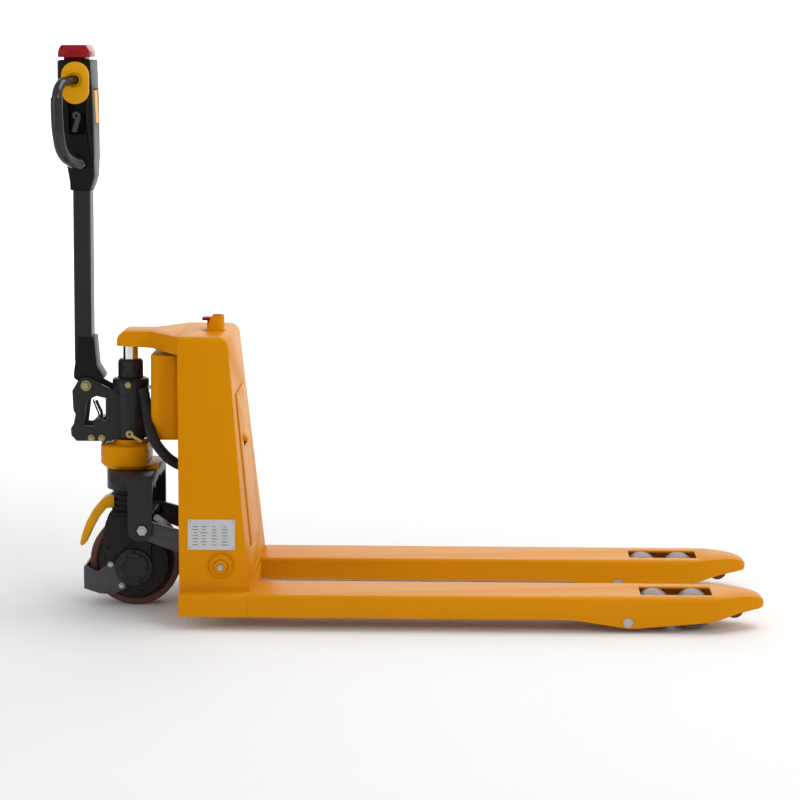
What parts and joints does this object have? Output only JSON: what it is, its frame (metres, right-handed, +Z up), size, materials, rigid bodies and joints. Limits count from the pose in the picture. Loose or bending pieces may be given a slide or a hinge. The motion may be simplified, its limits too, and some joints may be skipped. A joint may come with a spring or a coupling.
{
  "type": "electric pallet truck",
  "caption": "Walk-behind electric pallet truck: long forks, tapered yellow upright, lift pump over a steered drive wheel, and a sprung tiller with looped grips.",
  "frame": {"origin": "centre of the bounding box at floor level", "axes": "+X from the tiller towards the fork tips, +Y to the left fork, +Z up"},
  "size_m": [1.609, 0.5532, 1.296],
  "materials": {
    "yellow_paint": "semi-gloss industrial paint",
    "black_paint": "satin black paint",
    "cast_black": "satin black cast housing",
    "zinc_plate": "bright zinc plating",
    "gold_zinc": "yellow passivated zinc",
    "chrome_ram": "hard chrome",
    "bearing_steel": "ground steel",
    "red_plastic": "moulded",
    "yellow_plastic": "moulded",
    "black_plastic": "textured moulding",
    "black_rubber": "soft matt",
    "red_tread": "brown-red polyurethane",
    "brass_lever": "cast brass",
    "silver_plate": "anodised plate",
    "battery_shell": "moulded case",
    "grey_paint": "satin grey paint"
  },
  "bodies": {
    "mount": {"mount_collar": "yellow_paint", "mount_bracket": "black_paint", "link_pins": "zinc_plate", "steering_bearings": "bearing_steel"},
    "steering": {"pump_body": "black_paint", "gland_nut": "black_paint", "drive_neck": "cast_black", "gear_case": "cast_black", "hub_cover": "black_paint", "drive_screws": "zinc_plate", "traction_motor": "cast_black", "foot_guard": "grey_paint", "fender": "yellow_plastic", "tiller_bracket": "black_paint", "bracket_bolts": "gold_zinc", "return_spring": "bearing_steel", "valve_block": "grey_paint", "tiller_cables": "black_rubber"},
    "drive_wheel": {"drive_hub": "cast_black", "drive_tyre": "red_tread"},
    "tiller": {"tiller_socket": "black_plastic", "tiller_tube": "black_paint", "head_housing": "black_plastic", "head_trim": "yellow_plastic", "grip_left": "black_rubber", "grip_right": "black_rubber"},
    "throttle": {"throttle_knobs": "yellow_plastic"},
    "belly": {"belly_button": "red_plastic"},
    "lift_paddle": {"lift_lever": "grey_paint"},
    "lower_paddle": {"lower_lever": "grey_paint"},
    "release": {"release_lever": "brass_lever"},
    "chassis": {"upright": "yellow_paint", "chassis_base": "yellow_paint", "fork_left": "yellow_paint", "fork_right": "yellow_paint", "head_bracket": "yellow_paint", "ram": "chrome_ram", "electronics_case": "yellow_paint", "battery_pack": "battery_shell", "power_pack": "cast_black", "battery_hatch": "yellow_paint", "rating_plate": "silver_plate", "plate_rivets": "zinc_plate", "frame_pins": "black_paint", "disconnect_shroud": "yellow_paint", "cable_loom": "black_rubber"},
    "rocker": {"torsion_shaft": "grey_paint", "shaft_bolts": "zinc_plate"},
    "rod_left": {"push_rod_left": "black_paint"},
    "rod_right": {"push_rod_right": "black_paint"},
    "frame_left": {"wheel_frame_left": "yellow_paint"},
    "frame_right": {"wheel_frame_right": "yellow_paint"},
    "bogie_left": {"bogie_left": "grey_paint"},
    "bogie_right": {"bogie_right": "grey_paint"},
    "roller_fl": {"roller_front_left": "red_tread"},
    "roller_rl": {"roller_rear_left": "red_tread"},
    "roller_fr": {"roller_front_right": "red_tread"},
    "roller_rr": {"roller_rear_right": "red_tread"},
    "entry": {"entry_rollers": "red_tread"},
    "disconnect": {"disconnect_plug": "red_plastic"}
  },
  "joints": [
    {"name": "steer", "type": "hinge", "parent": "mount", "child": "steering", "pos_m": [-0.6485, 0, 0.105], "axis": [0, 0, 1], "range_deg": [-90, 90]},
    {"name": "drive_spin", "type": "hinge", "parent": "steering", "child": "drive_wheel", "pos_m": [-0.6365, 0, 0.105], "axis": [0, 1, 0], "continuous": true},
    {"name": "tiller_tilt", "type": "hinge", "parent": "steering", "child": "tiller", "pos_m": [-0.7465, 0, 0.515], "axis": [0, -1, 0], "range_deg": [0, 85], "stiffness_Nm_per_rad": 26, "springref_deg": -20.05},
    {"name": "throttle_turn", "type": "hinge", "parent": "tiller", "child": "throttle", "pos_m": [-0.7595, 0, 1.211], "axis": [0, 1, 0], "range_deg": [-30, 30], "stiffness_Nm_per_rad": 1.5},
    {"name": "belly_press", "type": "slide", "parent": "tiller", "child": "belly", "axis": [0, 0, -1], "range_m": [0, 0.006], "stiffness_N_per_m": 1500, "springref_m": -0.004},
    {"name": "lift_squeeze", "type": "hinge", "parent": "tiller", "child": "lift_paddle", "pos_m": [-0.7585, -0.056, 1.137], "axis": [0, 1, 0], "range_deg": [0, 10], "stiffness_Nm_per_rad": 1, "springref_deg": -5.73},
    {"name": "lower_squeeze", "type": "hinge", "parent": "tiller", "child": "lower_paddle", "pos_m": [-0.7585, 0.056, 1.137], "axis": [0, 1, 0], "range_deg": [0, 10], "stiffness_Nm_per_rad": 1, "springref_deg": -5.73},
    {"name": "release_turn", "type": "hinge", "parent": "steering", "child": "release", "pos_m": [-0.6455, -0.048, 0.404], "axis": [0, -1, 0], "range_deg": [0, 12], "stiffness_Nm_per_rad": 0.5, "springref_deg": -11.46},
    {"name": "lift", "type": "slide", "parent": "mount", "child": "chassis", "axis": [0, 0, 1], "range_m": [0, 0.115], "deforming": ["cable_loom"]},
    {"name": "rocker_turn", "type": "hinge", "parent": "chassis", "child": "rocker", "pos_m": [-0.4185, 0, 0.135], "axis": [0, -1, 0], "range_deg": [0, 34.3]},
    {"name": "rod_left_push", "type": "slide", "parent": "chassis", "child": "rod_left", "axis": [1, 0, 0], "range_m": [0, 0.0425]},
    {"name": "frame_left_swing", "type": "hinge", "parent": "chassis", "child": "frame_left", "pos_m": [0.4945, 0.195, 0.025], "axis": [0, 1, 0], "range_deg": [0, 77.44]},
    {"name": "bogie_left_level", "type": "hinge", "parent": "frame_left", "child": "bogie_left", "pos_m": [0.6005, 0.195, 0.04], "axis": [0, -1, 0], "range_deg": [0, 77.44]},
    {"name": "roller_fl_spin", "type": "hinge", "parent": "bogie_left", "child": "roller_fl", "pos_m": [0.6445, 0.195, 0.04], "axis": [0, 1, 0], "continuous": true},
    {"name": "roller_rl_spin", "type": "hinge", "parent": "bogie_left", "child": "roller_rl", "pos_m": [0.5565, 0.195, 0.04], "axis": [0, 1, 0], "continuous": true},
    {"name": "rod_right_push", "type": "slide", "parent": "chassis", "child": "rod_right", "axis": [1, 0, 0], "range_m": [0, 0.0425]},
    {"name": "frame_right_swing", "type": "hinge", "parent": "chassis", "child": "frame_right", "pos_m": [0.4945, -0.195, 0.025], "axis": [0, 1, 0], "range_deg": [0, 77.44]},
    {"name": "bogie_right_level", "type": "hinge", "parent": "frame_right", "child": "bogie_right", "pos_m": [0.6005, -0.195, 0.04], "axis": [0, -1, 0], "range_deg": [0, 77.44]},
    {"name": "roller_fr_spin", "type": "hinge", "parent": "bogie_right", "child": "roller_fr", "pos_m": [0.6445, -0.195, 0.04], "axis": [0, 1, 0], "continuous": true},
    {"name": "roller_rr_spin", "type": "hinge", "parent": "bogie_right", "child": "roller_rr", "pos_m": [0.5565, -0.195, 0.04], "axis": [0, 1, 0], "continuous": true},
    {"name": "entry_spin", "type": "hinge", "parent": "chassis", "child": "entry", "pos_m": [0.7375, 0, 0.045], "axis": [0, 1, 0], "continuous": true},
    {"name": "disconnect_pull", "type": "slide", "parent": "chassis", "child": "disconnect", "axis": [0, 0, 1], "range_m": [0, 0.025]}
  ],
  "couplings": [
    {"joint": "rocker_turn", "follows": "lift", "rad_per_m": 5.1595},
    {"joint": "rod_left_push", "follows": "lift", "ratio": 0.3687},
    {"joint": "frame_left_swing", "follows": "lift", "rad_per_m": 11.707},
    {"joint": "bogie_left_level", "follows": "lift", "rad_per_m": 11.707},
    {"joint": "rod_right_push", "follows": "lift", "ratio": 0.3687},
    {"joint": "frame_right_swing", "follows": "lift", "rad_per_m": 11.707},
    {"joint": "bogie_right_level", "follows": "lift", "rad_per_m": 11.707}
  ]
}
